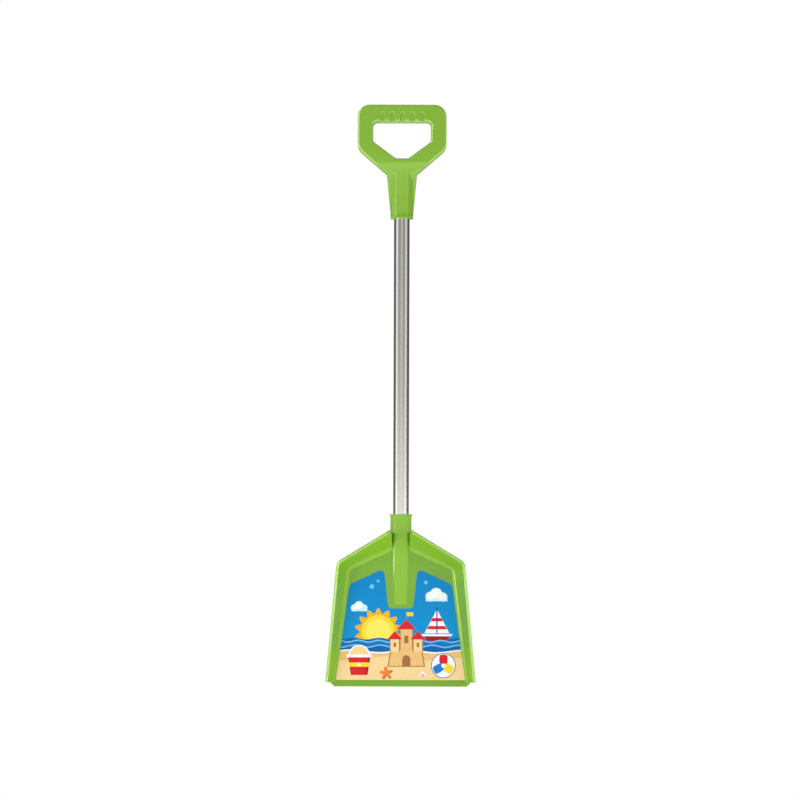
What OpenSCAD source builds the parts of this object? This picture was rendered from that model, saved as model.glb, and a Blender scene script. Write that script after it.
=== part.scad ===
// A child's sand shovel: a moulded scoop blade and a moulded D-handle on a steel tube.
// The blade's front edge is at the bottom, the hollow of the scoop faces -Y and the shaft runs up Z.

/* [Shaft] */
// Outer diameter of the steel tube
tube_d = 19; // [16:0.5:24]
// Wall of the steel tube
tube_wall = 0.8; // [0.5:0.1:1.5]
// Length of tube that shows between the two sockets
tube_shown = 360; // [200:5:600]
// Depth of tube inside the blade's socket
blade_seat = 80; // [50:1:95]
// Depth of tube inside the handle's socket
handle_seat = 50; // [30:1:52]
// Radial room between the tube and its sockets
tube_fit = 0.1; // [0.05:0.05:0.3]

/* [Sockets] */
// Wall of a socket at its sides
socket_side_wall = 3.15; // [2:0.05:5]
// Wall of the blade's socket at its front and back
socket_face_wall = 2.3; // [1.8:0.05:4]
// Wall of the handle's socket at its front and back
neck_face_wall = 2; // [1.8:0.05:4]
// Width of the flat facet at the front and back of a socket
socket_facet = 15; // [12:0.5:18]
// Rounding of the edges between a socket's facets
socket_edge_r = 1.2; // [0.5:0.1:2.5]
// How far the lip at a socket's mouth stands proud
lip_proud = 1; // [0.5:0.1:2]
// Height of the lip at the blade's socket
blade_lip_h = 1.5; // [1:0.1:4]
// Height of the lip at the handle's socket
neck_lip_h = 3.5; // [1.5:0.1:6]
// Lead-in chamfer at a socket's mouth
lead_in = 0.7; // [0.3:0.1:1.2]

/* [Blade] */
// Length of the floor from its root beside the socket to the front edge
blade_l = 168; // [130:1:220]
// Angle by which the floor leaves the shaft's line towards the front
blade_lift = 2.5; // [1.5:0.5:5]
// Distance of the floor's root in front of the shaft's axis
floor_set = 8.9; // [7.8:0.1:9.4]
// Height of the socket's mouth above the root of the floor
socket_rise = 40.4; // [36:0.2:60]
// Inner width of the floor at its front end
floor_front_w = 163; // [140:1:200]
// Inner width of the floor at its back corners
floor_back_w = 130; // [110:1:150]
// Distance down the floor from its root to the back corners
floor_corner_v = 24; // [20:0.5:40]
// Distance up the floor from its root to the point where the two shoulders would meet
floor_peak = 6; // [0:0.1:8]
// Radius of the floor's back corners, seen square to the floor
corner_r = 11; // [6:0.5:16]
// Thickness of the floor
floor_t = 2.2; // [1.6:0.1:3.5]
// Thickness of the walls
wall_t = 2.2; // [1.6:0.1:3]
// Height of the walls above the floor at the front end
wall_front_h = 15; // [10:0.5:25]
// Height of the walls above the floor at the back corners
wall_corner_h = 27; // [20:0.5:36]
// Height of the back wall above the floor beside the socket
wall_root_h = 26; // [20:0.5:32]
// Outward lean of the side walls at the front end, from floor to rim
lean_front = 9.2; // [6:0.1:12]
// Outward lean of the side walls at the back corners
lean_side = 12.4; // [9:0.1:18]
// Backward lean of the back wall at the back corners
lean_back = 5.8; // [3:0.1:16]
// Backward lean of the back wall at the socket
lean_root = 22.8; // [18:0.2:36]
// Width of the gap in the back wall for the socket, at the floor
gap_foot_w = 20; // [18:0.5:20.5]
// Width of that gap at the rim
gap_rim_w = 26; // [24:0.5:34]
// Width of the rim that turns outwards on top of the walls
rim_w = 3; // [2.5:0.1:5]
// Fall of the rim from the wall to its outer edge
rim_fall = 1.8; // [0:0.1:3]
// Thickness of the rim's outer edge
rim_t = 2; // [1.5:0.1:3]
// Reach of the fillet between floor and walls
fillet = 4.5; // [2:0.1:7]
// How far the front lip runs on past the side walls
front_lip = 5; // [3:0.5:10]
// How far the front lip stands above the floor
front_lip_up = 0.4; // [0.2:0.1:1]
// Corner cut at each end of the front lip
front_lip_cut = 4; // [2:0.5:8]

/* [Handle] */
// Height of the whole handle from its socket's mouth to the top
handle_h = 138.5; // [130:0.5:155]
// Width of the handle
grip_w = 108; // [100:1:124]
// Thickness of the handle from front to back
frame_t = 28; // [24:0.5:32]
// Height of the grip bar
grip_bar = 20.4; // [16:0.1:24]
// Width of the two arms
arm_w = 18.7; // [14:0.1:22]
// Height of the opening's lower edge above the socket's mouth
opening_low = 73; // [71:0.5:78]
// Height at which the opening's sides turn inwards
opening_turn = 93.5; // [88:0.5:98]
// Width of the flat at the bottom of the opening
opening_flat = 15; // [12:0.5:24]
// Height at which the outer sides turn inwards
side_turn = 85; // [80:0.5:89]
// Height of the neck, where the arms run into the wings
neck_h = 54.2; // [53:0.2:58]
// Height at which the faces of the D turn back towards the neck
chin_h = 68.5; // [64:0.5:70]
// Height of the slope beside the socket, from the D's lower band down to the wings
neck_run = 9; // [6:0.5:12]
// Width over the wings at the neck
wing_top_w = 37; // [33:0.5:43]
// Width over the wings at the socket's mouth
wing_low_w = 26.6; // [25.6:0.1:29]
// Thickness of the wings beside the socket
wing_t = 11; // [8:0.5:14]
// Radius of the outer corners at the top
top_r = 14.5; // [8:0.5:20]
// Radius of the outer corners at the sides
side_r = 14.5; // [8:0.5:18]
// Radius of the corners of the opening
opening_r = 5; // [3:0.5:8]
// Radius in the neck
neck_r = 5; // [2:0.5:8]
// Rounding of the handle's long edges
edge_r = 2.5; // [1:0.1:3]
// Wall of the moulding
handle_wall = 2.6; // [2:0.1:4]
// Thickness of the cross ribs in the hollow back
rib_t = 2; // [1.4:0.1:3]
// Number of finger recesses on the grip
recess_count = 5; // [3:1:5]
// Distance between the finger recesses
recess_pitch = 12; // [9:0.1:13]
// Width of a finger recess
recess_w = 5.7; // [4:0.1:8]
// Height of a finger recess
recess_h = 11.4; // [8:0.1:13]
// Depth of a finger recess
recess_depth = 1; // [0.5:0.1:1.4]

/* [Label] */
// Thickness of the printed film
label_t = 0.2; // [0.1:0.05:0.4]
// Gap between the film's sides and the foot of the walls
label_side_gap = 3; // [1:0.5:8]
// Gap between the film's lower edge and the front lip
label_front_gap = 1.4; // [0.5:0.1:6]
// Gap between the film's upper edge and the line of the shoulders
label_top_gap = 20.7; // [14:0.1:26]
// Gap between the film and the sides of the ridge at its foot
label_ridge_gap = 2.5; // [2:0.1:6]
// Width of each of the film's two lobes missing at the top, beside the ridge
label_lobe_lean = 5.2; // [0:0.2:9]
// Radius of the film's corners
label_r = 5; // [2:0.5:8]

/* [Screws] */
// Diameter of the screws that hold the tube
screw_d = 3.5; // [2.5:0.1:4.5]
// Length of the screws under the head
screw_l = 9; // [6:0.5:12]
// Diameter of the screws' heads
screw_head_d = 7; // [5:0.1:9]
// Height of the screws' heads
screw_head_h = 2; // [1.2:0.1:3]
// Distance of a screw from its socket's mouth
screw_from_mouth = 12; // [8:0.5:20]
// Radial room round the screws
screw_fit = 0.1; // [0.05:0.05:0.3]

/* [Hidden] */
$fn = 64;
corner_steps = 8;
edge_steps = 4;
facet_steps = 3;
fillet_steps = 4;
shoulder_steps = 4;
least_r = 0.2;
over = 1;

// Places along the shaft
root_z = blade_l * cos(blade_lift) + floor_t * sin(blade_lift);
mouth_z = root_z + socket_rise;
neck_z = mouth_z + tube_shown;
tube_z = mouth_z - blade_seat;
tube_l = blade_seat + tube_shown + handle_seat;

// Sockets
bore_d = tube_d + 2 * tube_fit;
socket_w = bore_d + 2 * socket_side_wall;
socket_d = bore_d + 2 * socket_face_wall;
neck_d = bore_d + 2 * neck_face_wall;
socket_floor = 4;
heel_l = 20;
cheek_proud = 0.2;
cheek_h = 12;
gap_sink = 0.3;
web_share = 0.8;

// Blade, in the floor's own plane: x across, v down the floor, w up from the floor
wall_end = blade_l - front_lip;
floor_corner = [floor_back_w / 2, floor_corner_v];
floor_front = [floor_front_w / 2, wall_end];
floor_top = [0, -floor_peak];
rim_front = [floor_front.x + lean_front, wall_end];
rim_corner = [floor_corner.x + lean_side, floor_corner.y - lean_back];
rim_top = [0, -floor_peak - lean_root];

// Where the box of the whole shovel lies about the shaft
rim_soft = rim_t / 4;
half_walls = half_wall_sections();
front_reach = max([for (section = half_walls, p = section)
    floor_set - p.y * sin(blade_lift) + p.z * cos(blade_lift)]);
back_reach = max(max(neck_d, socket_d) / 2 + max(screw_head_h, lip_proud), frame_t / 2);
shaft_y = (front_reach - back_reach) / 2;

// Handle
opening_top = handle_h - grip_bar;
opening_w = grip_w - 2 * arm_w;
chin_low = neck_h + edge_r;
neck_low = neck_h - neck_run;
arm_rib_at = 0.4;
brace_ribs_at = [0.3, 0.75];
brace_rib_turn = 50;

function unit(v) = v / norm(v);
function mix(a, b, t) = a + (b - a) * t;
function flat(lists) = [for (list = lists) each list];

// Arc that rounds the corner at p between the points before and after it.
// The polygon runs counter-clockwise, and a positive inset moves its sides inwards.
function corner_arc(before, p, after, r, inset = 0, steps = corner_steps) =
    let (
        a = unit(before - p),
        b = unit(after - p),
        half = acos(a * b) / 2,
        turn = cross(p - before, after - p) > 0 ? 1 : -1,
        middle = unit(a + b),
        tip = p + middle * turn * inset / sin(half),
        arc_r = max(r - turn * inset, least_r),
        centre = tip + middle * arc_r / sin(half),
        start = tip + a * arc_r / tan(half) - centre,
        first = atan2(start.y, start.x),
        sweep = turn * (180 - 2 * half)
    )
    [for (k = [0:steps])
        centre + arc_r * [cos(first + sweep * k / steps), sin(first + sweep * k / steps)]];

function rounded(points, radii, inset = 0, steps = corner_steps) =
    let (n = len(points))
    flat([for (i = [0:n - 1])
        corner_arc(points[(i + n - 1) % n], points[i], points[(i + 1) % n], radii[i], inset, steps)]);

// Triangles of the strips between neighbouring rows of equal length
function strips(rows, count, closed) = [
    for (i = [0:rows - 2], k = [0:count - (closed ? 1 : 2)])
        let (
            here = i * count + k,
            next = i * count + (k + 1) % count
        )
        each [[here, next + count, next], [here, here + count, next + count]]
];

// Solid through flat rings of equal length, stacked along Z
module loft(rings) {
    count = len(rings[0]);
    last = (len(rings) - 1) * count;
    polyhedron(
        flat(rings),
        concat(
            strips(len(rings), count, true),
            [[for (k = [0:count - 1]) k]],
            [[for (k = [count - 1:-1:0]) last + k]]
        ),
        convexity = 8
    );
}

function lift_to(points, z) = [for (p = points) [p.x, p.y, z]];

// Slab with rounded long edges
module soft_slab(points, radii, thick, r) {
    low = [for (k = [0:edge_steps]) lift_to(
        rounded(points, radii, r * (1 - sin(90 * k / edge_steps))),
        -thick / 2 + r * (1 - cos(90 * k / edge_steps)))];
    high = [for (k = [edge_steps:-1:0]) lift_to(
        rounded(points, radii, r * (1 - sin(90 * k / edge_steps))),
        thick / 2 - r * (1 - cos(90 * k / edge_steps)))];
    loft(concat(low, high));
}

// Cutter for an opening through a slab, flared at both faces
module soft_hole(points, radii, thick, r) {
    low = [for (k = [0:edge_steps]) lift_to(
        rounded(points, radii, -r * (1 - sin(90 * k / edge_steps))),
        -thick / 2 + r * (1 - cos(90 * k / edge_steps)))];
    high = [for (k = [edge_steps:-1:0]) lift_to(
        rounded(points, radii, -r * (1 - sin(90 * k / edge_steps))),
        thick / 2 - r * (1 - cos(90 * k / edge_steps)))];
    below = [lift_to(rounded(points, radii, -r), -thick / 2 - over)];
    above = [lift_to(rounded(points, radii, -r), thick / 2 + over)];
    loft(concat(below, low, high, above));
}

// Eight-sided section of a socket with soft edges, grown by proud on every side
function socket_section(w, d, proud = 0) =
    let (
        x = w / 2 + proud,
        y = d / 2 + proud,
        fx = socket_facet / 2 + proud * tan(22.5),
        fy = y - (x - fx)
    )
    rounded(
        [[x, -fy], [x, fy], [fx, y], [-fx, y], [-x, fy], [-x, -fy], [-fx, -y], [fx, -y]],
        [for (i = [1:8]) socket_edge_r],
        0,
        facet_steps
    );

// Bore for the tube, opening towards -Z at the origin, with a lead-in
module tube_bore(depth) {
    translate([0, 0, -over])
        cylinder(d = bore_d, h = depth + over);
    translate([0, 0, -over])
        cylinder(d1 = bore_d + 2 * (lead_in + over), d2 = bore_d, h = lead_in + over);
}

// Puts a piece that points along -Y onto the back of a socket
module at_back(z, d) {
    translate([0, d / 2, z])
        rotate([90, 0, 0])
            children();
}

module screw_hole() {
    translate([0, 0, -over])
        cylinder(d = screw_d + 2 * screw_fit, h = screw_l + 2 * over);
}

module screw() {
    tip = screw_d;
    cylinder(d = screw_d, h = screw_l - tip);
    translate([0, 0, screw_l - tip])
        cylinder(d1 = screw_d, d2 = screw_d / 5, h = tip);
    translate([0, 0, -screw_head_h])
        rotate_extrude()
            intersection() {
                translate([0, screw_head_d])
                    circle(d = 2 * screw_head_d);
                square([screw_head_d / 2, screw_head_h]);
            }
}

screw_places = [
    [mouth_z - screw_from_mouth, socket_d],
    [neck_z + screw_from_mouth, neck_d]
];

// Frame of the blade's floor: x across, y up the floor from its root, z out of the scoop
module on_floor() {
    translate([0, -floor_set, root_z])
        rotate([90 - blade_lift, 0, 0])
            children();
}

// One half of a line round the scoop: front end, rounded back corner, shoulder up to the middle
function half_line(front, corner, top) =
    let (
        arc = corner_arc([front.x, -front.y], [corner.x, -corner.y], [top.x, -top.y], corner_r),
        last = arc[corner_steps]
    )
    concat(
        [[front.x, -front.y]],
        arc,
        [for (k = [1:shoulder_steps]) mix(last, [top.x, -top.y], k / shoulder_steps)]
    );

// Direction along such a line at each of its points
function half_ways(line) =
    let (n = len(line))
    [for (i = [0:n - 1])
        i == 0 ? [0, 1]
        : i == n - 1 ? [-1, 0]
        : i > corner_steps + 1 ? unit(line[i] - line[i - 1])
        : unit(unit(line[i + 1] - line[i]) + unit(line[i] - line[i - 1]))];

// Section of the wall at one place, from the floor's upper face over the rim to its lower face
function wall_section(foot, rim, way, h) =
    let (
        out = [way.y, -way.x, 0],
        foot3 = [foot.x, foot.y, 0],
        edge = [rim.x, rim.y, h] - out * rim_w,
        up = unit(edge - foot3),
        normal = unit(cross([way.x, way.y, 0], up)),
        down = normal * out > 0 ? normal : -normal,
        under = foot3 + down * wall_t,
        heel = under + up * ((-floor_t - under.z) / up.z),
        fall = unit(out * rim_w - [0, 0, rim_fall]),
        tip = edge + out * rim_w - [0, 0, rim_fall],
        below_rim = under + up * ((tip.z - rim_t - under.z) / up.z)
    )
    concat(
        [for (k = [0:fillet_steps])
            let (t = k / fillet_steps)
            foot3 - out * fillet * (1 - t) * (1 - t) + up * fillet * t * t],
        [
            edge - up * rim_soft,
            edge + fall * rim_soft,
            tip - fall * rim_soft,
            tip - [0, 0, rim_soft],
            tip - [0, 0, rim_t],
            below_rim
        ],
        [for (k = [fillet_steps:-1:0])
            let (t = k / fillet_steps)
            heel - out * fillet * (1 - t) * (1 - t) + up * fillet * t * t]
    );

function mirrored(point) = [-point.x, point.y, point.z];

// Triangles across the cut end of a wall, between the inner and the outer side of its section
function wall_end_faces(first, count, turned) = [
    for (k = [0:count / 2 - 2])
        let (
            a = first + k,
            b = first + count - 1 - k
        )
        each turned ? [[a, a + 1, b], [a + 1, b - 1, b]] : [[a, b, a + 1], [a + 1, b, b - 1]]
];

// Sections of the wall from the front end of one side to the middle of the back
function half_wall_sections() =
    let (
        feet = half_line(floor_front, floor_corner, floor_top),
        rims = half_line(rim_front, rim_corner, rim_top),
        ways = half_ways(feet)
    )
    [for (i = [0:len(feet) - 1])
        let (h = i == 0 ? wall_front_h
            : i <= corner_steps + 1 ? wall_corner_h
            : mix(wall_corner_h, wall_root_h, (i - corner_steps - 1) / shoulder_steps))
        wall_section(feet[i], rims[i], ways[i], h)];

// Floor and walls of the scoop as one sheet
module scoop() {
    n = len(half_walls);
    other = [for (i = [n - 2:-1:0]) [for (p = half_walls[i]) mirrored(p)]];
    rows = concat(half_walls, other);
    count = len(rows[0]);
    total = len(rows);
    end = (total - 1) * count;
    polyhedron(
        flat(rows),
        concat(
            strips(total, count, false),
            [[for (i = [0:total - 1]) i * count]],
            [[for (i = [total - 1:-1:0]) i * count + count - 1]],
            wall_end_faces(0, count, false),
            wall_end_faces(end, count, true),
            [[0, end, end + count - 1, count - 1]]
        ),
        convexity = 8
    );
}

module front_edge() {
    half_w = floor_front.x + wall_t + front_lip_up;
    start = wall_end - label_front_gap;
    cut_v = blade_l - front_lip_cut;
    translate([0, 0, -floor_t])
        linear_extrude(floor_t + front_lip_up)
            polygon([
                [half_w, -start],
                [-half_w, -start],
                [-half_w, -cut_v],
                [front_lip_cut - half_w, -blade_l],
                [half_w - front_lip_cut, -blade_l],
                [half_w, -cut_v]
            ]);
}

// Gap in the back wall where the socket passes, wider at the rim than at the floor
module wall_gap() {
    past = floor_peak + lean_root + over;
    translate([0, past, 0])
        rotate([90, 0, 0])
            linear_extrude(past + fillet)
                polygon([
                    [-gap_foot_w / 2, -gap_sink],
                    [gap_foot_w / 2, -gap_sink],
                    [gap_rim_w / 2, wall_root_h],
                    [gap_rim_w / 2, wall_root_h + over],
                    [-gap_rim_w / 2, wall_root_h + over],
                    [-gap_rim_w / 2, wall_root_h]
                ]);
}

// Depth of the shaft's axis below the floor's upper face, at a distance down the floor
function axis_depth(v) = (floor_set + v * sin(blade_lift)) / cos(blade_lift);

// Puts a profile of [up the floor, out of the floor] upright across the blade
module across(width) {
    rotate([90, 0, 90])
        linear_extrude(width, center = true)
            children();
}

// Octagonal bar along the shaft's axis: the socket, and the ridge that runs on down the scoop
// until the floor meets it. Behind the floor the bar ends in a sloping heel under the bore.
module socket_bar() {
    length = socket_rise + blade_l;
    heel_v = blade_seat + socket_floor - socket_rise;
    heel_end = heel_v + heel_l;
    back = -axis_depth(heel_v) - socket_d / 2 / cos(blade_lift);
    middle = -floor_t / 2;
    difference() {
        union() {
            translate([0, 0, mouth_z - length])
                linear_extrude(length)
                    polygon(socket_section(socket_w, socket_d));
            on_floor()
                across(socket_w + 2 * cheek_proud)
                    polygon([
                        [cheek_h, middle],
                        [-heel_end, middle],
                        [-heel_end, -axis_depth(heel_end)],
                        [cheek_h, -axis_depth(-cheek_h)]
                    ]);
        }
        on_floor()
            across(2 * socket_w)
                polygon([
                    [-heel_end, middle],
                    [-heel_v, back],
                    [-heel_v, back - blade_l],
                    [-2 * blade_l, back - blade_l],
                    [-2 * blade_l, middle]
                ]);
    }
}

// Webs that tie the ends of the back wall to the sides of the socket
module socket_webs() {
    x = socket_w / 2 + cheek_proud - wall_t / 2;
    foot = floor_peak - x * (floor_corner_v + floor_peak) / floor_corner.x;
    rim = floor_peak + lean_root - x * (rim_corner.y - rim_top.y) / rim_corner.x - rim_w;
    high = mix([foot, 0], [rim, wall_root_h], web_share) + [wall_t / 2, 0];
    for (side = [-1, 1])
        translate([side * x, 0, 0])
            across(wall_t)
                polygon([
                    [foot - over, -floor_t / 2],
                    high,
                    [rim, -axis_depth(-rim)],
                    [foot - over, -axis_depth(0)]
                ]);
}

module blade() {
    color("yellowgreen")
        translate([0, shaft_y, 0])
            difference() {
                union() {
                    on_floor() {
                        difference() {
                            scoop();
                            wall_gap();
                        }
                        front_edge();
                        socket_webs();
                    }
                    socket_bar();
                    translate([0, 0, mouth_z - blade_lip_h])
                        linear_extrude(blade_lip_h)
                            polygon(socket_section(socket_w, socket_d, lip_proud));
                }
                translate([0, 0, mouth_z])
                    rotate([180, 0, 0])
                        tube_bore(blade_seat);
                at_back(screw_places[0][0], screw_places[0][1])
                    screw_hole();
            }
}

module shaft_tube() {
    color("silver")
        translate([0, shaft_y, 0])
            difference() {
                translate([0, 0, tube_z])
                    cylinder(d = tube_d, h = tube_l);
                translate([0, 0, tube_z - over])
                    cylinder(d = tube_d - 2 * tube_wall, h = tube_l + 2 * over);
                for (place = screw_places)
                    at_back(place[0], place[1])
                        screw_hole();
            }
}

// Outline of the D above the neck, counter-clockwise, x across and y up from the socket's mouth
function frame_outline() = [
    [-wing_top_w / 2, neck_h],
    [wing_top_w / 2, neck_h],
    [grip_w / 2, side_turn],
    [grip_w / 2, handle_h],
    [-grip_w / 2, handle_h],
    [-grip_w / 2, side_turn]
];
frame_radii = [neck_r / 2, neck_r / 2, side_r, top_r, top_r, side_r];

function opening_outline() = [
    [-opening_flat / 2, opening_low],
    [opening_flat / 2, opening_low],
    [opening_w / 2, opening_turn],
    [opening_w / 2, opening_top],
    [-opening_w / 2, opening_top],
    [-opening_w / 2, opening_turn]
];
opening_radii = [opening_r / 2, opening_r / 2, opening_r, opening_r, opening_r, opening_r];

// Turns a slab that lies in the XY plane upright, its upper face to the front
module upright() {
    rotate([90, 0, 0])
        children();
}

module handle() {
    color("yellowgreen")
        translate([0, shaft_y, neck_z])
            difference() {
                union() {
                    difference() {
                        upright() {
                            soft_slab(frame_outline(), frame_radii, frame_t, edge_r);
                            linear_extrude(frame_t, center = true)
                                polygon(wing_outline(neck_low));
                        }
                        chin_cut();
                        mirror([0, 1, 0])
                            chin_cut();
                    }
                    wings();
                    linear_extrude(chin_h)
                        polygon(socket_section(socket_w, neck_d));
                    linear_extrude(neck_lip_h)
                        polygon(socket_section(socket_w, neck_d, lip_proud));
                }
                upright()
                    soft_hole(opening_outline(), opening_radii, frame_t, edge_r);
                back_hollow();
                finger_recesses();
                tube_bore(handle_seat);
                at_back(screw_from_mouth, neck_d)
                    screw_hole();
            }
}

// Outline of the wings each side of the handle's socket, from a height up to the D
function wing_outline(from) =
    let (w = mix(wing_low_w, wing_top_w, from / neck_h))
    [
        [-w / 2, from],
        [w / 2, from],
        [wing_top_w / 2, neck_h],
        [wing_top_w / 2, chin_low],
        [-wing_top_w / 2, chin_low],
        [-wing_top_w / 2, neck_h]
    ];

module wings() {
    upright()
        linear_extrude(wing_t, center = true)
            polygon(wing_outline(0));
}

// Wedge in front of the D's lower band, which falls back to the face of the socket and on,
// beside the socket, to the faces of the wings
module chin_cut() {
    slope = (neck_d - wing_t) / 2 / (chin_low - neck_low);
    low = neck_low - over;
    rotate([90, 0, 90])
        linear_extrude(2 * grip_w, center = true)
            polygon([
                [-frame_t / 2, chin_h],
                [-frame_t, chin_h],
                [-frame_t, low],
                [-wing_t / 2 + slope * over, low],
                [-neck_d / 2, chin_low]
            ]);
}

// Hollow of the moulding, open at the back, with its cross ribs left standing
module back_hollow() {
    depth = frame_t - handle_wall;
    block_h = opening_low + edge_r;
    difference() {
        translate([0, frame_t / 2, 0])
            upright()
                difference() {
                    translate([0, 0, -over])
                        linear_extrude(depth + over)
                            polygon(rounded(frame_outline(), frame_radii, handle_wall));
                    translate([0, 0, -2 * over])
                        linear_extrude(depth + 3 * over)
                            polygon(rounded(opening_outline(), opening_radii, -handle_wall));
                    translate([-socket_w / 2, 0, -2 * over])
                        cube([socket_w, block_h, depth + 3 * over]);
                    ribs(depth);
                }
        translate([0, handle_wall, 0])
            chin_cut();
    }
}

// Cross ribs of the hollow back: across the grip, across the arms and across the two braces below
module ribs(depth) {
    tall = depth + 3 * over;
    middle = tall / 2 - 2 * over;
    brace_low = [(wing_top_w + opening_flat) / 4, (neck_h + opening_low) / 2];
    brace_high = [(grip_w - arm_w) / 2, (side_turn + opening_turn) / 2];
    for (i = [0:recess_count])
        translate([(i - recess_count / 2) * recess_pitch - rib_t / 2, opening_top, -2 * over])
            cube([rib_t, grip_bar, tall]);
    for (side = [-1, 1]) {
        translate([side * brace_high.x, mix(opening_turn, opening_top, arm_rib_at), middle])
            cube([arm_w, rib_t, tall], center = true);
        for (t = brace_ribs_at)
            translate([side * mix(brace_low.x, brace_high.x, t), mix(brace_low.y, brace_high.y, t), middle])
                rotate([0, 0, side * -brace_rib_turn])
                    cube([2 * arm_w, rib_t, tall], center = true);
    }
}

// Rounded recesses on the face of the grip, open at its lower edge
module finger_recesses() {
    straight = recess_h - recess_w / 2;
    for (i = [0:recess_count - 1])
        translate([(i - (recess_count - 1) / 2) * recess_pitch, 0, opening_top])
            upright()
                translate([0, 0, frame_t / 2 - recess_depth]) {
                    translate([0, straight, 0])
                        cylinder(d = recess_w, h = recess_depth + over);
                    translate([-recess_w / 2, -over, 0])
                        cube([recess_w, straight + over, recess_depth + over]);
                }
}

// Outline of the film, counter-clockwise, in the floor's frame
function label_outline() =
    let (
        low = wall_end - 2 * label_front_gap,
        along = (low - floor_corner_v) / (wall_end - floor_corner_v),
        side_low = mix(floor_corner.x, floor_front.x, along) - label_side_gap,
        side_high = floor_corner.x - label_side_gap,
        turn_v = floor_corner_v + label_top_gap,
        notch = socket_w / 2 + label_ridge_gap,
        notch_low = (socket_d / 2 - floor_set) / sin(blade_lift) + 2 * label_ridge_gap,
        lobe = notch + label_lobe_lean,
        shoulder = (floor_corner_v + floor_peak) / floor_corner.x,
        lobe_v = turn_v - (side_high - lobe) * shoulder
    )
    [
        [-side_low, -low],
        [side_low, -low],
        [side_high, -turn_v],
        [lobe, -lobe_v],
        [notch, -notch_low],
        [-notch, -notch_low],
        [-lobe, -lobe_v],
        [-side_high, -turn_v]
    ];
label_radii = [label_r / 4, label_r / 4, 2 * label_r, label_r, label_r, label_r, label_r, 2 * label_r];

module blade_label() {
    color("dodgerblue")
        translate([0, shaft_y, 0])
            on_floor()
                linear_extrude(label_t)
                    polygon(rounded(label_outline(), label_radii));
}

module socket_screws() {
    color("dimgray")
        translate([0, shaft_y, 0])
            for (place = screw_places)
                at_back(place[0], place[1])
                    screw();
}

blade();
shaft_tube();
handle();
blade_label();
socket_screws();
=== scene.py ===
import math

import bmesh
import bpy
from mathutils import Matrix, Vector


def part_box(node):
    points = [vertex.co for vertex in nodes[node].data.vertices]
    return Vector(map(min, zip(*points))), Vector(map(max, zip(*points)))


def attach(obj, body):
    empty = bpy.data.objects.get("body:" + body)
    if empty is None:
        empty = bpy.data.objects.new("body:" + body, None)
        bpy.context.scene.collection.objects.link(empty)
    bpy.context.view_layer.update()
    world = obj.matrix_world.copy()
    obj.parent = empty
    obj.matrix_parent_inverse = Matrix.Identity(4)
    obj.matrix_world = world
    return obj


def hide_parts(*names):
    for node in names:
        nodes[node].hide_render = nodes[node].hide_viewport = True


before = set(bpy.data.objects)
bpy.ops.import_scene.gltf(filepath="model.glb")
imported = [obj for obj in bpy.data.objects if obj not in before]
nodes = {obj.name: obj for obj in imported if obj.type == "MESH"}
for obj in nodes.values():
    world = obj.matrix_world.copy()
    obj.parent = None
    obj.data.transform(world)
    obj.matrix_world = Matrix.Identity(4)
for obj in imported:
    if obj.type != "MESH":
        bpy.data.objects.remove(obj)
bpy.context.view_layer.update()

scene = bpy.context.scene

# Camera: it stands far off, below the middle of the shovel, and looks up by under two degrees,
# so the mouth of the blade's socket is seen edge-on. The picture leans by a fifth of a degree.
tube_low, tube_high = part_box("shaft_tube")
shaft_y = (tube_low.y + tube_high.y) / 2
camera_aim = Vector((-0.0016, shaft_y, 0.3474))
camera_distance = 4.0
camera_tilt = math.radians(-1.744)
camera_roll = math.radians(0.18)
camera_data = bpy.data.cameras.new("camera")
camera_data.lens = 147.78
camera_data.sensor_width = 36.0
camera = bpy.data.objects.new("camera", camera_data)
scene.collection.objects.link(camera)
camera_back = Vector((0.0, -math.cos(camera_tilt), math.sin(camera_tilt)))
camera.location = camera_aim + camera_back * camera_distance
camera_turn = (-camera_back).to_track_quat("-Z", "Y").to_matrix() @ Matrix.Rotation(camera_roll, 3, "Z")
camera.rotation_euler = camera_turn.to_euler()
scene.camera = camera
scene.view_settings.view_transform = "Standard"


# Studio world: white where it is looked at, in mirrors and through glass, and a plain
# softer level where it lights the shovel.
def feed(tree, socket, value):
    if isinstance(value, bpy.types.NodeSocket):
        tree.links.new(value, socket)
    else:
        socket.default_value = value


def math_node(tree, operation, a, b=0.0, clamp=False):
    node = tree.nodes.new("ShaderNodeMath")
    node.operation = operation
    node.use_clamp = clamp
    feed(tree, node.inputs[0], a)
    feed(tree, node.inputs[1], b)
    return node.outputs[0]


def spread(tree, value, low, high, start=0.0, end=1.0, curve="LINEAR"):
    node = tree.nodes.new("ShaderNodeMapRange")
    node.interpolation_type = curve
    feed(tree, node.inputs["Value"], value)
    for name, level in (("From Min", start), ("From Max", end), ("To Min", low), ("To Max", high)):
        feed(tree, node.inputs[name], level)
    return node.outputs["Result"]


world_lights, world_seen = 0.46, 1.0
world = bpy.data.worlds.new("studio")
world.use_nodes = True
tree = world.node_tree
background = tree.nodes["Background"]
background.inputs["Color"].default_value = (1.0, 1.0, 1.0, 1.0)
path = tree.nodes.new("ShaderNodeLightPath").outputs
seen = math_node(tree, "MAXIMUM", path["Is Camera Ray"], path["Is Glossy Ray"])
seen = math_node(tree, "MAXIMUM", seen, path["Is Transmission Ray"])
feed(tree, background.inputs["Strength"], spread(tree, seen, world_lights, world_seen))
scene.world = world


# Floor of the studio: a white lit table. It glows almost to white by itself, so that it reads as
# the white ground of the picture and still takes a faint shadow, and it lights the shovel from below.
def grey(level):
    return (level, level, level, 1.0)


def blend(tree, share, a, b, kind="RGBA"):
    node = tree.nodes.new("ShaderNodeMix")
    node.data_type = kind
    feed(tree, node.inputs["Factor"], share)
    feed(tree, node.inputs["A"], a)
    feed(tree, node.inputs["B"], b)
    return node.outputs["Result"]


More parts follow.
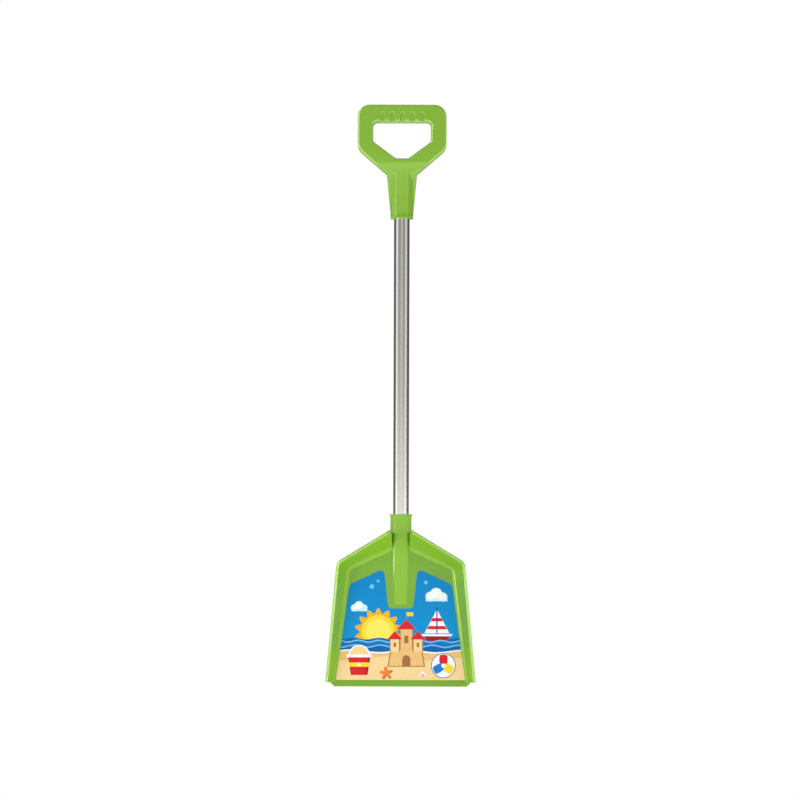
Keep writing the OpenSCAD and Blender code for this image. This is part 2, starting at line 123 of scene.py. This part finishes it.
def glow_ramp(tree, place, start, end, end_glows, stops):
    ramp = tree.nodes.new("ShaderNodeValToRGB")
    for element, glow in zip(ramp.color_ramp.elements, end_glows):
        element.color = grey(glow)
    for stop, glow in stops:
        ramp.color_ramp.elements.new((stop - start) / (end - start)).color = grey(glow)
    feed(tree, ramp.inputs["Fac"], spread(tree, place, 0.0, 1.0, start, end))
    return ramp.outputs["Color"]


def new_material(name):
    material = bpy.data.materials.new(name)
    material.use_nodes = True
    return material, material.node_tree, material.node_tree.nodes["Principled BSDF"]


floor_half = 30.0
floor_seen, floor_lights = 0.882, 1.34
floor_mesh = bpy.data.meshes.new("studio_floor")
bm = bmesh.new()
bmesh.ops.create_grid(bm, x_segments=1, y_segments=1, size=floor_half)
bm.to_mesh(floor_mesh)
bm.free()
studio_floor = bpy.data.objects.new("studio_floor", floor_mesh)
scene.collection.objects.link(studio_floor)
floor_white, tree, shader = new_material("studio_floor")
shader.inputs["Base Color"].default_value = grey(0.25)
shader.inputs["Roughness"].default_value = 0.9
shader.inputs["Specular IOR Level"].default_value = 0.0
shader.inputs["Emission Color"].default_value = (1.0, 1.0, 1.0, 1.0)
path = tree.nodes.new("ShaderNodeLightPath").outputs
parts = tree.nodes.new("ShaderNodeSeparateXYZ")
feed(tree, parts.inputs[0], tree.nodes.new("ShaderNodeTexCoord").outputs["Object"])
floor_stops = ((-4.0, 1.1), (-3.4, 2.4), (-1.2, 2.6), (-0.9, 3.6), (-0.5, 3.6), (-0.42, 1.7), (-0.14, 1.1))
floor_mirrored = glow_ramp(tree, parts.outputs["Y"], start=-4.5, end=0.5, end_glows=(1.1, 0.3),
                           stops=floor_stops)
floor_unseen = blend(tree, path["Is Glossy Ray"], floor_lights, floor_mirrored, "FLOAT")
floor_glow = blend(tree, path["Is Camera Ray"], floor_unseen, floor_seen, "FLOAT")
feed(tree, shader.inputs["Emission Strength"], floor_glow)
floor_mesh.materials.append(floor_white)


# Key light: one soft box at the left front. It shades the right sides of the plastic a little
# and isn't seen in mirrors.
def soft_box(name, width, height, power, place, aim):
    data = bpy.data.lights.new(name, "AREA")
    data.shape = "RECTANGLE"
    data.size = width
    data.size_y = height
    data.energy = power
    lamp = bpy.data.objects.new(name, data)
    scene.collection.objects.link(lamp)
    lamp.location = place
    lamp.rotation_euler = (Vector(aim) - Vector(place)).to_track_quat("-Z", "Y").to_euler()
    lamp.visible_camera = False
    return lamp


key_light = soft_box("key_light", width=0.4, height=0.4, power=2.0,
                     place=(-0.5, -0.6, 0.14), aim=(0.0, 0.0, 0.25))
key_light.visible_glossy = False

# Fill light: a smaller soft box low at the right, which opens the shade inside the left wall of
# the scoop. It isn't seen in mirrors either.
fill_light = soft_box("fill_light", width=0.3, height=0.3, power=2.3,
                      place=(0.75, -0.35, 0.12), aim=(0.0, 0.0, 0.08))
fill_light.visible_glossy = False

# Strip light: a tall bright panel at the left front, seen only in mirrors, for the glints on the
# rounded edges of the plastic that face left.
strip_light = soft_box("strip_light", width=0.8, height=2.6, power=85.0,
                       place=(-1.46, -1.14, 0.9), aim=(0.0, 0.0, 0.9))
strip_light.visible_diffuse = False

# Reflector walls round the studio, seen only in mirrors: they draw the long streaks on the steel
# tube and the sheen on the plastic. Low down they are as white as the table, and above they are
# banded by direction, in degrees from the front.
wall_radius, wall_height = 20.0, 40.0
wall_mesh = bpy.data.meshes.new("reflector_walls")
bm = bmesh.new()
bmesh.ops.create_cone(bm, cap_ends=False, segments=96, radius1=wall_radius, radius2=wall_radius,
                      depth=wall_height, matrix=Matrix.Translation((0.0, 0.0, wall_height / 2)))
bm.to_mesh(wall_mesh)
bm.free()
reflector = bpy.data.objects.new("reflector_walls", wall_mesh)
scene.collection.objects.link(reflector)
reflector.visible_camera = False
reflector.visible_diffuse = False
reflector.visible_shadow = False
reflector.visible_transmission = False
reflector.visible_volume_scatter = False
wall_glow, tree, shader = new_material("reflector_walls")
tree.nodes.remove(shader)
parts = tree.nodes.new("ShaderNodeSeparateXYZ")
feed(tree, parts.inputs[0], tree.nodes.new("ShaderNodeTexCoord").outputs["Object"])
to_front = math_node(tree, "MULTIPLY", parts.outputs["Y"], -1.0)
azimuth = math_node(tree, "ARCTAN2", parts.outputs["X"], to_front)
degrees = math_node(tree, "DEGREES", azimuth)
high_stops = ((-122, 0.1), (-98, 0.1), (-88, 1.2), (-64, 1.3), (-52, 0.48), (-22, 0.34), (-8, 0.72),
              (8, 0.72), (22, 0.36), (46, 0.38), (60, 1.0), (80, 1.0), (94, 0.1), (122, 0.1))
low_stops = ((-104, 0.1), (-84, 0.7), (-66, 1.16), (64, 1.16), (80, 0.5), (98, 0.1))
high_bands = glow_ramp(tree, degrees, start=-180.0, end=180.0, end_glows=(0.3, 0.3), stops=high_stops)
low_bands = glow_ramp(tree, degrees, start=-180.0, end=180.0, end_glows=(0.2, 0.2), stops=low_stops)
low_share = spread(tree, parts.outputs["Z"], low=1.0, high=0.0, start=0.45, end=0.9, curve="SMOOTHSTEP")
glow_shader = tree.nodes.new("ShaderNodeEmission")
feed(tree, glow_shader.inputs["Color"], blend(tree, low_share, high_bands, low_bands))
feed(tree, tree.nodes["Material Output"].inputs["Surface"], glow_shader.outputs[0])
wall_mesh.materials.append(wall_glow)


# Blade: one injection-moulded scoop in glossy yellow-green polypropylene, with the socket for the
# tube moulded on. It keeps its CAD shape. Painted shade darkens the floor round the label, and a
# painted highlight lightens the forward-facing faces of the rim.
def merged_copy(node_name):
    mesh = nodes[node_name].data.copy()
    bm = bmesh.new()
    bm.from_mesh(mesh)
    bmesh.ops.remove_doubles(bm, verts=bm.verts, dist=1e-6)
    bmesh.ops.dissolve_limit(bm, angle_limit=math.radians(0.4), verts=bm.verts, edges=bm.edges)
    bmesh.ops.recalc_face_normals(bm, faces=bm.faces)
    return mesh, bm


def tint(face, layer, share):
    for loop in face.loops:
        loop[layer] = share


def finished_piece(name, mesh, bm, crease_degrees):
    for face in bm.faces:
        face.smooth = True
    for edge in bm.edges:
        if edge.is_manifold:
            edge.smooth = edge.calc_face_angle() < math.radians(crease_degrees)
    bm.to_mesh(mesh)
    bm.free()
    piece = bpy.data.objects.new(name, mesh)
    scene.collection.objects.link(piece)
    return piece


def even_normals(piece):
    even = piece.modifiers.new("even_normals", "WEIGHTED_NORMAL")
    even.keep_sharp = True


def noise(tree, place, scale, detail):
    node = tree.nodes.new("ShaderNodeTexNoise")
    feed(tree, node.inputs["Vector"], place)
    feed(tree, node.inputs["Scale"], scale)
    feed(tree, node.inputs["Detail"], detail)
    return node.outputs["Fac"]


def attribute_share(tree, name, share):
    node = tree.nodes.new("ShaderNodeAttribute")
    node.attribute_name = name
    return math_node(tree, "MULTIPLY", node.outputs["Fac"], share)


def bump(tree, height, strength, distance):
    node = tree.nodes.new("ShaderNodeBump")
    node.inputs["Strength"].default_value = strength
    node.inputs["Distance"].default_value = distance
    feed(tree, node.inputs["Height"], height)
    return node.outputs["Normal"]


plastic_crease = 40
floor_lift = math.radians(2.5)
floor_normal = Vector((0.0, -math.cos(floor_lift), math.sin(floor_lift)))
floor_cosine, floor_gap = 0.9995, 0.0006
rim_height, rim_cosine, socket_reach = 0.010, 0.6, 0.016
label_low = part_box("blade_label")[0]
label_foot = Vector((0.0, label_low.y, label_low.z))
blade_mesh, bm = merged_copy("blade")
highlight_paint_layer = bm.loops.layers.float.new("edge")
shade_paint_layer = bm.loops.layers.float.new("painted_shade")
for face in bm.faces:
    middle = face.calc_center_median()
    height = (middle - label_foot).dot(floor_normal)
    # Painted shade: the upward faces of the floor round the label.
    if face.normal.dot(floor_normal) > floor_cosine and abs(height) < floor_gap:
        tint(face, shade_paint_layer, 1.0)
    # Painted highlight: the rim's faces that face forward, away from the socket.
    if height > rim_height and face.normal.y < -rim_cosine and abs(middle.x) > socket_reach:
        tint(face, highlight_paint_layer, 1.0)
blade_piece = finished_piece("blade_moulding", blade_mesh, bm, plastic_crease)
even_normals(blade_piece)

leaf_green, light_green = (0.181, 0.388, 0.016, 1.0), (0.209, 0.424, 0.020, 1.0)
# A darker green painted in as shade, and a pale green painted in as highlight.
shade_paint_green, highlight_paint_green = (0.134, 0.304, 0.015, 1.0), (0.46, 0.72, 0.16, 1.0)
plastic, tree, shader = new_material("green_plastic")
place = tree.nodes.new("ShaderNodeTexCoord").outputs["Object"]
pigment = blend(tree, noise(tree, place, scale=38.0, detail=4.0), leaf_green, light_green)
# Painted shade, then painted highlight, laid over the plastic's own mottled colour.
with_painted_shade = blend(tree, attribute_share(tree, "painted_shade", share=0.8), pigment, shade_paint_green)
with_painted_highlight = blend(tree, attribute_share(tree, "edge", share=0.5), with_painted_shade, highlight_paint_green)
rub = noise(tree, place, scale=90.0, detail=6.0)
grain = noise(tree, place, scale=1100.0, detail=2.0)
feed(tree, shader.inputs["Base Color"], with_painted_highlight)
feed(tree, shader.inputs["Roughness"], spread(tree, rub, low=0.27, high=0.35, start=0.2, end=0.8))
feed(tree, shader.inputs["Normal"], bump(tree, grain, strength=0.015, distance=0.0002))
shader.inputs["Specular Tint"].default_value = (1.0, 1.0, 0.88, 1.0)
blade_mesh.materials.clear()
blade_mesh.materials.append(plastic)
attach(blade_piece, "root")
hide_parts("blade")

# Handle: a second moulding of the same plastic, a D with five shallow finger recesses on the
# grip, a hollow ribbed back and an octagonal socket that is pushed over the tube. The recesses'
# rims are eased. A painted highlight lightens the eased rims, the D's rounded long edges and the
# grip's underside, and painted shade darkens the neck's downward-slanting gussets.
handle_mesh, bm = merged_copy("handle")
grip_face_y = min(v.co.y for v in bm.verts)
grip_foot_z = tube_high.z + 0.006
grip_under_z = tube_high.z + 0.048
rim_angle, rim_ease, rim_gap, sliver = math.radians(70), 0.0006, 2e-5, 2e-6
slant_low, slant_high, gusset_cosine, under_cosine = 0.5, 0.95, 0.3, 0.7
recess_rims = [e for e in bm.edges if e.is_manifold and e.calc_face_angle() > rim_angle
               and all(abs(v.co.y - grip_face_y) < rim_gap and v.co.z > grip_foot_z for v in e.verts)]
eased = bmesh.ops.bevel(bm, geom=recess_rims, offset=rim_ease, offset_type="OFFSET", segments=2,
                        profile=0.5, affect="EDGES", clamp_overlap=False, material=-1)
highlight_paint_layer = bm.loops.layers.float.new("edge")
# Painted highlight on the eased recess rims.
for face in eased["faces"]:
    tint(face, highlight_paint_layer, 1.0)
bmesh.ops.dissolve_degenerate(bm, dist=sliver, edges=bm.edges)
# Painted highlight on the D's rounded long edges and the grip's downward underside; painted shade on the
# neck's downward-slanting gussets.
shade_paint_layer = bm.loops.layers.float.new("painted_shade")
for face in bm.faces:
    height = face.calc_center_median().z
    slanting = slant_low < abs(face.normal.y) < slant_high
    if slanting and height > grip_foot_z:
        tint(face, highlight_paint_layer, 0.8)
    elif slanting and face.normal.z < -gusset_cosine:
        tint(face, shade_paint_layer, 0.8)
    elif not slanting and face.normal.z < -under_cosine and height > grip_under_z:
        tint(face, highlight_paint_layer, 1.0)
handle_piece = finished_piece("handle_moulding", handle_mesh, bm, plastic_crease)
even_normals(handle_piece)
handle_mesh.materials.clear()
handle_mesh.materials.append(plastic)
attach(handle_piece, "root")
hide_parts("handle")

# Shaft: a straight length of drawn thin-wall steel tube, bright, with fine lengthwise drawing
# lines. Its ends are cut square and stand hidden in the two sockets.
tube_r = (tube_high.x - tube_low.x) / 2
tube_wall, tube_ease = 0.0008, 0.0001
tube_bore_r = tube_r - tube_wall
tube_mesh = bpy.data.meshes.new("tube")
bm = bmesh.new()
profile = [(tube_bore_r, tube_low.z), (tube_r - tube_ease, tube_low.z), (tube_r, tube_low.z + tube_ease),
           (tube_r, tube_high.z - tube_ease), (tube_r - tube_ease, tube_high.z), (tube_bore_r, tube_high.z)]
ring = [bm.verts.new((r, shaft_y, z)) for r, z in profile]
lines = [bm.edges.new(pair) for pair in zip(ring, ring[1:] + ring[:1])]
bmesh.ops.spin(bm, geom=ring + lines, cent=(0.0, shaft_y, 0.0), axis=(0.0, 0.0, 1.0), angle=2 * math.pi,
               steps=128, use_merge=True)
bmesh.ops.remove_doubles(bm, verts=bm.verts, dist=1e-7)
bmesh.ops.recalc_face_normals(bm, faces=bm.faces)
tube_piece = finished_piece("steel_tube", tube_mesh, bm, crease_degrees=30)

# Uneven finish: a noise that drifts between two tones and two roughnesses.
uneven_finish = bpy.data.node_groups.new("uneven_finish", "ShaderNodeTree")
for name, kind in (("Place", "Vector"), ("Scale", "Float"), ("Dark", "Color"), ("Light", "Color"),
                   ("Smooth", "Float"), ("Rough", "Float")):
    uneven_finish.interface.new_socket(name, in_out="INPUT", socket_type="NodeSocket" + kind)
for name, kind in (("Tone", "Color"), ("Roughness", "Float"), ("Height", "Float")):
    uneven_finish.interface.new_socket(name, in_out="OUTPUT", socket_type="NodeSocket" + kind)
given = uneven_finish.nodes.new("NodeGroupInput").outputs
result = uneven_finish.nodes.new("NodeGroupOutput").inputs
drift = noise(uneven_finish, given["Place"], given["Scale"], detail=3.0)
feed(uneven_finish, result["Tone"], blend(uneven_finish, drift, given["Dark"], given["Light"]))
feed(uneven_finish, result["Roughness"], spread(uneven_finish, drift, given["Smooth"], given["Rough"]))
feed(uneven_finish, result["Height"], drift)


def uneven(tree, place, scale, dark, light, smooth, rough):
    node = tree.nodes.new("ShaderNodeGroup")
    node.node_tree = uneven_finish
    for socket, value in zip(node.inputs, (place, scale, dark, light, smooth, rough)):
        feed(tree, socket, value)
    return node.outputs


grey_steel, bright_steel = (0.57, 0.55, 0.51, 1.0), (0.67, 0.645, 0.6, 1.0)
steel, tree, shader = new_material("tube_steel")
shader.inputs["Metallic"].default_value = 1.0
drawn = tree.nodes.new("ShaderNodeMapping")
drawn.inputs["Scale"].default_value = (900.0, 900.0, 6.0)
feed(tree, drawn.inputs["Vector"], tree.nodes.new("ShaderNodeTexCoord").outputs["Object"])
streaks = uneven(tree, drawn.outputs["Vector"], scale=1.0, dark=grey_steel, light=bright_steel,
                 smooth=0.1, rough=0.2)
feed(tree, shader.inputs["Base Color"], streaks["Tone"])
feed(tree, shader.inputs["Roughness"], streaks["Roughness"])
feed(tree, shader.inputs["Normal"], bump(tree, streaks["Height"], strength=0.05, distance=0.0001))
tube_mesh.materials.append(steel)
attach(tube_piece, "root")
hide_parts("shaft_tube")

# Label: one thin printed film, stuck on the blade's floor and cut round the ridge. It keeps its CAD
# shape and carries a plain beach print: sky, clouds, sun, sea, a boat, sand and sand toys. The print
# is laid out in millimetres, across the film and up it from its front edge.
millimetre = 0.001
print_sharpness = 2.5
horizon_t, zenith_t = 45.0, 130.0
film, tree, shader = new_material("label_film")
sheet = tree.nodes.new("ShaderNodeMapping")
sheet.vector_type = "TEXTURE"
sheet.inputs["Location"].default_value = (0.0, 0.0, label_low.z)
sheet.inputs["Scale"].default_value = (millimetre, millimetre, millimetre * math.cos(floor_lift))
feed(tree, sheet.inputs["Vector"], tree.nodes.new("ShaderNodeTexCoord").outputs["Object"])
across = tree.nodes.new("ShaderNodeSeparateXYZ")
feed(tree, across.inputs[0], sheet.outputs["Vector"])


def mask_group(name, sizes):
    group = bpy.data.node_groups.new(name, "ShaderNodeTree")
    for label in ("U", "T") + sizes:
        group.interface.new_socket(label, in_out="INPUT", socket_type="NodeSocketFloat")
    group.interface.new_socket("Mask", in_out="OUTPUT", socket_type="NodeSocketFloat")
    return group, group.nodes.new("NodeGroupInput").outputs, group.nodes.new("NodeGroupOutput").inputs


def soft_step(group, inside):
    return math_node(group, "ADD", math_node(group, "MULTIPLY", inside, print_sharpness), 0.5, clamp=True)


def from_centre(group, given):
    off_u = math_node(group, "SUBTRACT", given["U"], given["CU"])
    off_t = math_node(group, "SUBTRACT", given["T"], given["CT"])
    return off_u, off_t


def length(group, off_u, off_t):
    squares = [math_node(group, "MULTIPLY", off, off) for off in (off_u, off_t)]
    return math_node(group, "SQRT", math_node(group, "ADD", *squares))


# Round spot: centre and radius.
disc, given, result = mask_group("print_disc", ("CU", "CT", "R"))
far = length(disc, *from_centre(disc, given))
feed(disc, result["Mask"], soft_step(disc, math_node(disc, "SUBTRACT", given["R"], far)))

# Upright bar: centre, half sizes, and how much its half width grows per millimetre upwards.
bar, given, result = mask_group("print_bar", ("CU", "CT", "HU", "HT", "Grow"))
off_u, off_t = from_centre(bar, given)
wide = math_node(bar, "ADD", given["HU"], math_node(bar, "MULTIPLY", off_t, given["Grow"]))
side = soft_step(bar, math_node(bar, "SUBTRACT", wide, math_node(bar, "ABSOLUTE", off_u)))
ends = soft_step(bar, math_node(bar, "SUBTRACT", given["HT"], math_node(bar, "ABSOLUTE", off_t)))
feed(bar, result["Mask"], math_node(bar, "MULTIPLY", side, ends))

# Star or rosette: centre, mean radius, swing of the radius, number of points and turn.
star, given, result = mask_group("print_star", ("CU", "CT", "R", "Swing", "Points", "Turn"))
off_u, off_t = from_centre(star, given)
points = math_node(star, "MULTIPLY", math_node(star, "ARCTAN2", off_u, off_t), given["Points"])
swing = math_node(star, "COSINE", math_node(star, "ADD", points, given["Turn"]))
reach = math_node(star, "ADD", given["R"], math_node(star, "MULTIPLY", swing, given["Swing"]))
inside = math_node(star, "SUBTRACT", reach, length(star, off_u, off_t))
feed(star, result["Mask"], soft_step(star, inside))

# Everything below a wavy line: height, swing, length and shift of the wave.
wave, given, result = mask_group("print_wave", ("CT", "Swing", "Length", "Shift"))
phase = math_node(wave, "ADD", math_node(wave, "DIVIDE", given["U"], given["Length"]), given["Shift"])
swing = math_node(wave, "MULTIPLY", math_node(wave, "SINE", phase), given["Swing"])
line = math_node(wave, "ADD", given["CT"], swing)
feed(wave, result["Mask"], soft_step(wave, math_node(wave, "SUBTRACT", line, given["T"])))

sky_low, sky_high = (0.003, 0.278, 0.620, 1.0), (0.002, 0.218, 0.552, 1.0)
white, cloud_white = (0.86, 0.88, 0.90, 1.0), (0.62, 0.80, 0.92, 1.0)
lemon, yellow, gold = (0.93, 0.76, 0.12, 1.0), (0.90, 0.66, 0.03, 1.0), (0.84, 0.42, 0.02, 1.0)
tan, pale_sand, brown = (0.80, 0.50, 0.19, 1.0), (0.87, 0.63, 0.30, 1.0), (0.36, 0.15, 0.045, 1.0)
red, dark_red, orange = (0.66, 0.018, 0.022, 1.0), (0.36, 0.008, 0.012, 1.0), (0.86, 0.22, 0.02, 1.0)
navy, sea, bright_sea = (0.012, 0.045, 0.20, 1.0), (0.006, 0.115, 0.40, 1.0), (0.008, 0.16, 0.50, 1.0)
foam, ball_blue, shell_pink = (0.16, 0.52, 0.80, 1.0), (0.006, 0.20, 0.62, 1.0), (0.84, 0.44, 0.30, 1.0)
ball_u, ball_t = 52.0, 17.5
motifs = [
    # Sun
    (star, (-27.0, 58.0, 25.5, 3.2, 14.0, 0.0), gold),
    (disc, (-27.0, 58.0, 20.5), yellow), (disc, (-27.0, 58.0, 15.5), lemon),
    # Cloud at the right
    (disc, (36.0, 101.0, 6.0), cloud_white), (disc, (43.0, 104.0, 7.5), cloud_white),
    (disc, (51.0, 100.5, 5.5), cloud_white), (bar, (43.5, 98.5, 13.0, 3.2, 0.0), cloud_white),
    (disc, (36.5, 102.0, 4.6), white), (disc, (43.0, 105.2, 6.0), white), (disc, (50.5, 101.6, 4.2), white),
    # Cloud at the left
    (disc, (-56.0, 87.0, 4.4), cloud_white), (disc, (-50.5, 89.5, 5.6), cloud_white),
    (disc, (-44.5, 87.0, 4.2), cloud_white), (bar, (-50.0, 85.5, 9.5, 2.4, 0.0), cloud_white),
    (disc, (-50.5, 90.4, 4.4), white), (disc, (-55.5, 87.8, 3.2), white),
    # Spray in the sky
    (disc, (30.5, 118.0, 2.2), foam), (disc, (-35.0, 113.0, 2.8), foam), (disc, (-27.5, 119.5, 1.7), foam),
    # Far sea, and the boat on it with its sail, mast, hull and deck
    (wave, (50.0, 1.0, 5.0, 0.4), sea),
    (bar, (44.0, 71.0, 7.6, 14.5, -0.52), white), (bar, (44.0, 63.4, 11.2, 2.0, -0.52), red),
    (bar, (44.0, 73.0, 6.4, 2.0, -0.52), red), (bar, (44.0, 70.0, 0.7, 18.0, 0.0), navy),
    (bar, (44.0, 51.5, 15.0, 4.0, 1.0), dark_red), (bar, (44.0, 54.3, 18.2, 1.3, 0.6), white),
    # Near waves, the wet edge of the beach and the sand
    (wave, (47.6, 1.1, 4.0, 1.9), foam), (wave, (46.0, 1.1, 4.0, 1.9), bright_sea),
    (wave, (41.6, 1.3, 5.0, 0.2), foam), (wave, (40.0, 1.3, 5.0, 0.2), sea),
    (wave, (35.4, 1.6, 11.0, 0.8), white), (wave, (33.6, 1.6, 11.0, 0.8), tan),
    (wave, (26.0, 2.4, 17.0, 2.6), pale_sand),
    # Sand castle: mound, side towers and keep, roofs and flag, windows and gate
    (bar, (7.0, 26.0, 21.0, 10.0, -0.18), brown), (bar, (7.0, 26.6, 19.6, 9.6, -0.18), tan),
    (bar, (-7.0, 42.0, 6.2, 8.0, 0.0), brown), (bar, (-7.0, 42.0, 5.2, 8.0, 0.0), pale_sand),
    (bar, (21.0, 42.0, 6.2, 8.0, 0.0), brown), (bar, (21.0, 42.0, 5.2, 8.0, 0.0), pale_sand),
    (bar, (7.0, 49.0, 8.0, 13.0, 0.0), brown), (bar, (7.0, 49.0, 7.0, 13.0, 0.0), tan),
    (bar, (-7.0, 54.5, 4.2, 5.4, -0.9), red), (bar, (21.0, 54.5, 4.2, 5.4, -0.9), red),
    (bar, (7.0, 67.6, 5.4, 6.4, -0.95), red), (bar, (7.0, 77.0, 0.6, 5.0, 0.0), brown),
    (bar, (11.2, 79.6, 4.0, 2.3, 0.0), yellow),
    (bar, (-7.0, 42.5, 1.5, 2.6, 0.0), brown), (bar, (21.0, 42.5, 1.5, 2.6, 0.0), brown),
    (disc, (7.0, 51.5, 2.5), brown), (bar, (7.0, 48.0, 2.5, 3.5, 0.0), brown),
    (disc, (7.0, 25.0, 5.0), brown), (bar, (7.0, 20.5, 5.0, 4.5, 0.0), brown),
    # Bucket: bail, side with its shade, brim and band
    (disc, (-50.0, 29.5, 13.0), white), (disc, (-50.0, 29.5, 11.3), pale_sand),
    (bar, (-50.0, 18.0, 12.0, 12.0, 0.16), dark_red), (bar, (-51.0, 18.0, 10.2, 12.0, 0.16), red),
    (bar, (-50.0, 29.0, 15.2, 1.7, 0.0), white), (bar, (-50.0, 18.5, 12.1, 2.6, 0.16), yellow),
    (star, (-50.0, 18.5, 1.7, 0.7, 5.0, 0.0), white),
    # Beach ball, starfish with its shade, and shell
    (disc, (ball_u, ball_t, 15.0), navy), (disc, (ball_u, ball_t, 14.2), white),
    (star, (-17.0, 8.0, 5.6, 2.6, 5.0, 0.5), brown), (star, (-18.0, 8.6, 5.0, 2.4, 5.0, 0.5), orange),
    (disc, (27.0, 6.5, 3.4), white), (disc, (27.0, 5.6, 2.4), shell_pink),
]


def printed(kind, sizes):
    node = tree.nodes.new("ShaderNodeGroup")
    node.node_tree = kind
    for socket, value in zip(node.inputs, (across.outputs["X"], across.outputs["Z"]) + sizes):
        feed(tree, socket, value)
    return node.outputs["Mask"]


sky_share = spread(tree, across.outputs["Z"], low=0.0, high=1.0, start=horizon_t, end=zenith_t)
ink = blend(tree, sky_share, sky_low, sky_high)
for kind, sizes, colour in motifs:
    ink = blend(tree, printed(kind, sizes), ink, colour)
# The ball's three coloured panels are ovals round its middle, and a white button covers their tips.
ball_r, button_r, panel_out, panel_r, panel_swing = 13.4, 2.6, 7.5, 6.4, 1.4
ball = printed(disc, (ball_u, ball_t, ball_r))
for turn, colour in ((0.0, red), (2.1, yellow), (4.2, ball_blue)):
    panel_u = ball_u + panel_out * math.sin(turn)
    panel_t = ball_t + panel_out * math.cos(turn)
    panel = printed(star, (panel_u, panel_t, panel_r, panel_swing, 2.0, turn))
    ink = blend(tree, math_node(tree, "MULTIPLY", ball, panel), ink, colour)
ink = blend(tree, printed(disc, (ball_u, ball_t, button_r)), ink, white)
speckled = uneven(tree, sheet.outputs["Vector"], scale=0.9, dark=white, light=white, smooth=0.3, rough=0.42)
ink_strength = spread(tree, speckled["Height"], low=0.92, high=1.06, start=0.3, end=0.7)
toned = tree.nodes.new("ShaderNodeVectorMath")
toned.operation = "SCALE"
feed(tree, toned.inputs[0], ink)
feed(tree, toned.inputs["Scale"], ink_strength)
feed(tree, shader.inputs["Base Color"], toned.outputs["Vector"])
feed(tree, shader.inputs["Roughness"], speckled["Roughness"])
shader.inputs["Specular IOR Level"].default_value = 0.12
nodes["blade_label"].data.materials.clear()
nodes["blade_label"].data.materials.append(film)

# Screws: two self-tapping pan-head screws of zinc-plated steel, driven from behind through each
# socket into the tube. A turned head with a pressed cross recess, a shank and a point.
screw_low, screw_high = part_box("socket_screws")
head_r, head_h, head_ease = 0.0035, 0.002, 0.00015
crown_r, crown_edge_r, crown_side_r = 0.0019, 0.0026, 0.0031
shank_r, shank_l, point_r, point_l = 0.00175, 0.009, 0.0003, 0.0035
cross_half, cross_arm, cross_deep, cross_draft = 0.0003, 0.00145, 0.0009, 0.8
neck_step = 0.0003
turned = [(crown_r, head_h), (crown_edge_r, head_h * 0.93), (crown_side_r, head_h * 0.72),
          (head_r, head_h * 0.35), (head_r, head_ease), (head_r - head_ease, 0.0), (shank_r, 0.0),
          (shank_r, point_l - shank_l), (point_r, -shank_l)]
screw_mesh = bpy.data.meshes.new("screws")
bm = bmesh.new()
ring = [bm.verts.new((r, 0.0, h)) for r, h in turned]
lines = [bm.edges.new(pair) for pair in zip(ring, ring[1:])]
bmesh.ops.spin(bm, geom=ring + lines, cent=(0.0, 0.0, 0.0), axis=(0.0, 0.0, 1.0), angle=2 * math.pi,
               steps=48, use_merge=True)
bmesh.ops.remove_doubles(bm, verts=bm.verts, dist=1e-7)
open_edges = [e for e in bm.edges if e.is_boundary]
crown = [e for e in open_edges if e.verts[0].co.z > 0.0]
point = [e for e in open_edges if e.verts[0].co.z < 0.0]
bmesh.ops.holes_fill(bm, edges=point, sides=0)
a, b = cross_half, cross_arm
corners = [(a, a), (a, b), (-a, b), (-a, a), (-b, a), (-b, -a), (-a, -a), (-a, -b), (a, -b), (a, -a),
           (b, -a), (b, a)]
rim = [bm.verts.new((x, y, head_h)) for x, y in corners]
rim_edges = [bm.edges.new(pair) for pair in zip(rim, rim[1:] + rim[:1])]
bmesh.ops.triangle_fill(bm, edges=crown + rim_edges, use_beauty=True, normal=(0.0, 0.0, 1.0))
filled = [f for f in bm.faces if all(v in rim for v in f.verts)]
bmesh.ops.delete(bm, geom=filled, context="FACES_ONLY")
sunk = bmesh.ops.extrude_edge_only(bm, edges=rim_edges)["geom"]
deep = [v for v in sunk if isinstance(v, bmesh.types.BMVert)]
bottom = [e for e in sunk if isinstance(e, bmesh.types.BMEdge) and all(v in deep for v in e.verts)]
bmesh.ops.translate(bm, verts=deep, vec=(0.0, 0.0, -cross_deep))
bmesh.ops.scale(bm, verts=deep, vec=(cross_draft, cross_draft, 1.0))
bmesh.ops.contextual_create(bm, geom=bottom)
blade_screw = list(bm.verts)
both = bmesh.ops.duplicate(bm, geom=bm.verts[:] + bm.edges[:] + bm.faces[:])["geom"]
neck_screw = [v for v in both if isinstance(v, bmesh.types.BMVert)]
head_y = screw_high.y - head_h
for verts, seat_y, seat_z in ((blade_screw, head_y, screw_low.z + head_r),
                              (neck_screw, head_y - neck_step, screw_high.z - head_r)):
    to_back = Matrix.Translation((0.0, seat_y, seat_z)) @ Matrix.Rotation(-math.pi / 2, 4, "X")
    bmesh.ops.transform(bm, matrix=to_back, verts=verts)
bmesh.ops.recalc_face_normals(bm, faces=bm.faces)
screw_piece = finished_piece("pan_head_screws", screw_mesh, bm, crease_degrees=35)
grey_zinc, bright_zinc = (0.47, 0.47, 0.47, 1.0), (0.62, 0.62, 0.60, 1.0)
zinc, tree, shader = new_material("screw_steel")
shader.inputs["Metallic"].default_value = 1.0
place = tree.nodes.new("ShaderNodeTexCoord").outputs["Object"]
plated = uneven(tree, place, scale=700.0, dark=grey_zinc, light=bright_zinc, smooth=0.24, rough=0.42)
feed(tree, shader.inputs["Base Color"], plated["Tone"])
feed(tree, shader.inputs["Roughness"], plated["Roughness"])
screw_mesh.materials.append(zinc)
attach(screw_piece, "root")
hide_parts("socket_screws")

# Flags at the lamps: the strip light is kept off the steel, so that only the plastic takes its
# glints, and the fill light reaches the scoop alone.
plastic_only = bpy.data.collections.new("takes_strip_light")
for piece in (blade_piece, handle_piece):
    plastic_only.objects.link(piece)
strip_light.light_linking.receiver_collection = plastic_only
scoop_only = bpy.data.collections.new("takes_fill_light")
scoop_only.objects.link(blade_piece)
fill_light.light_linking.receiver_collection = scoop_only
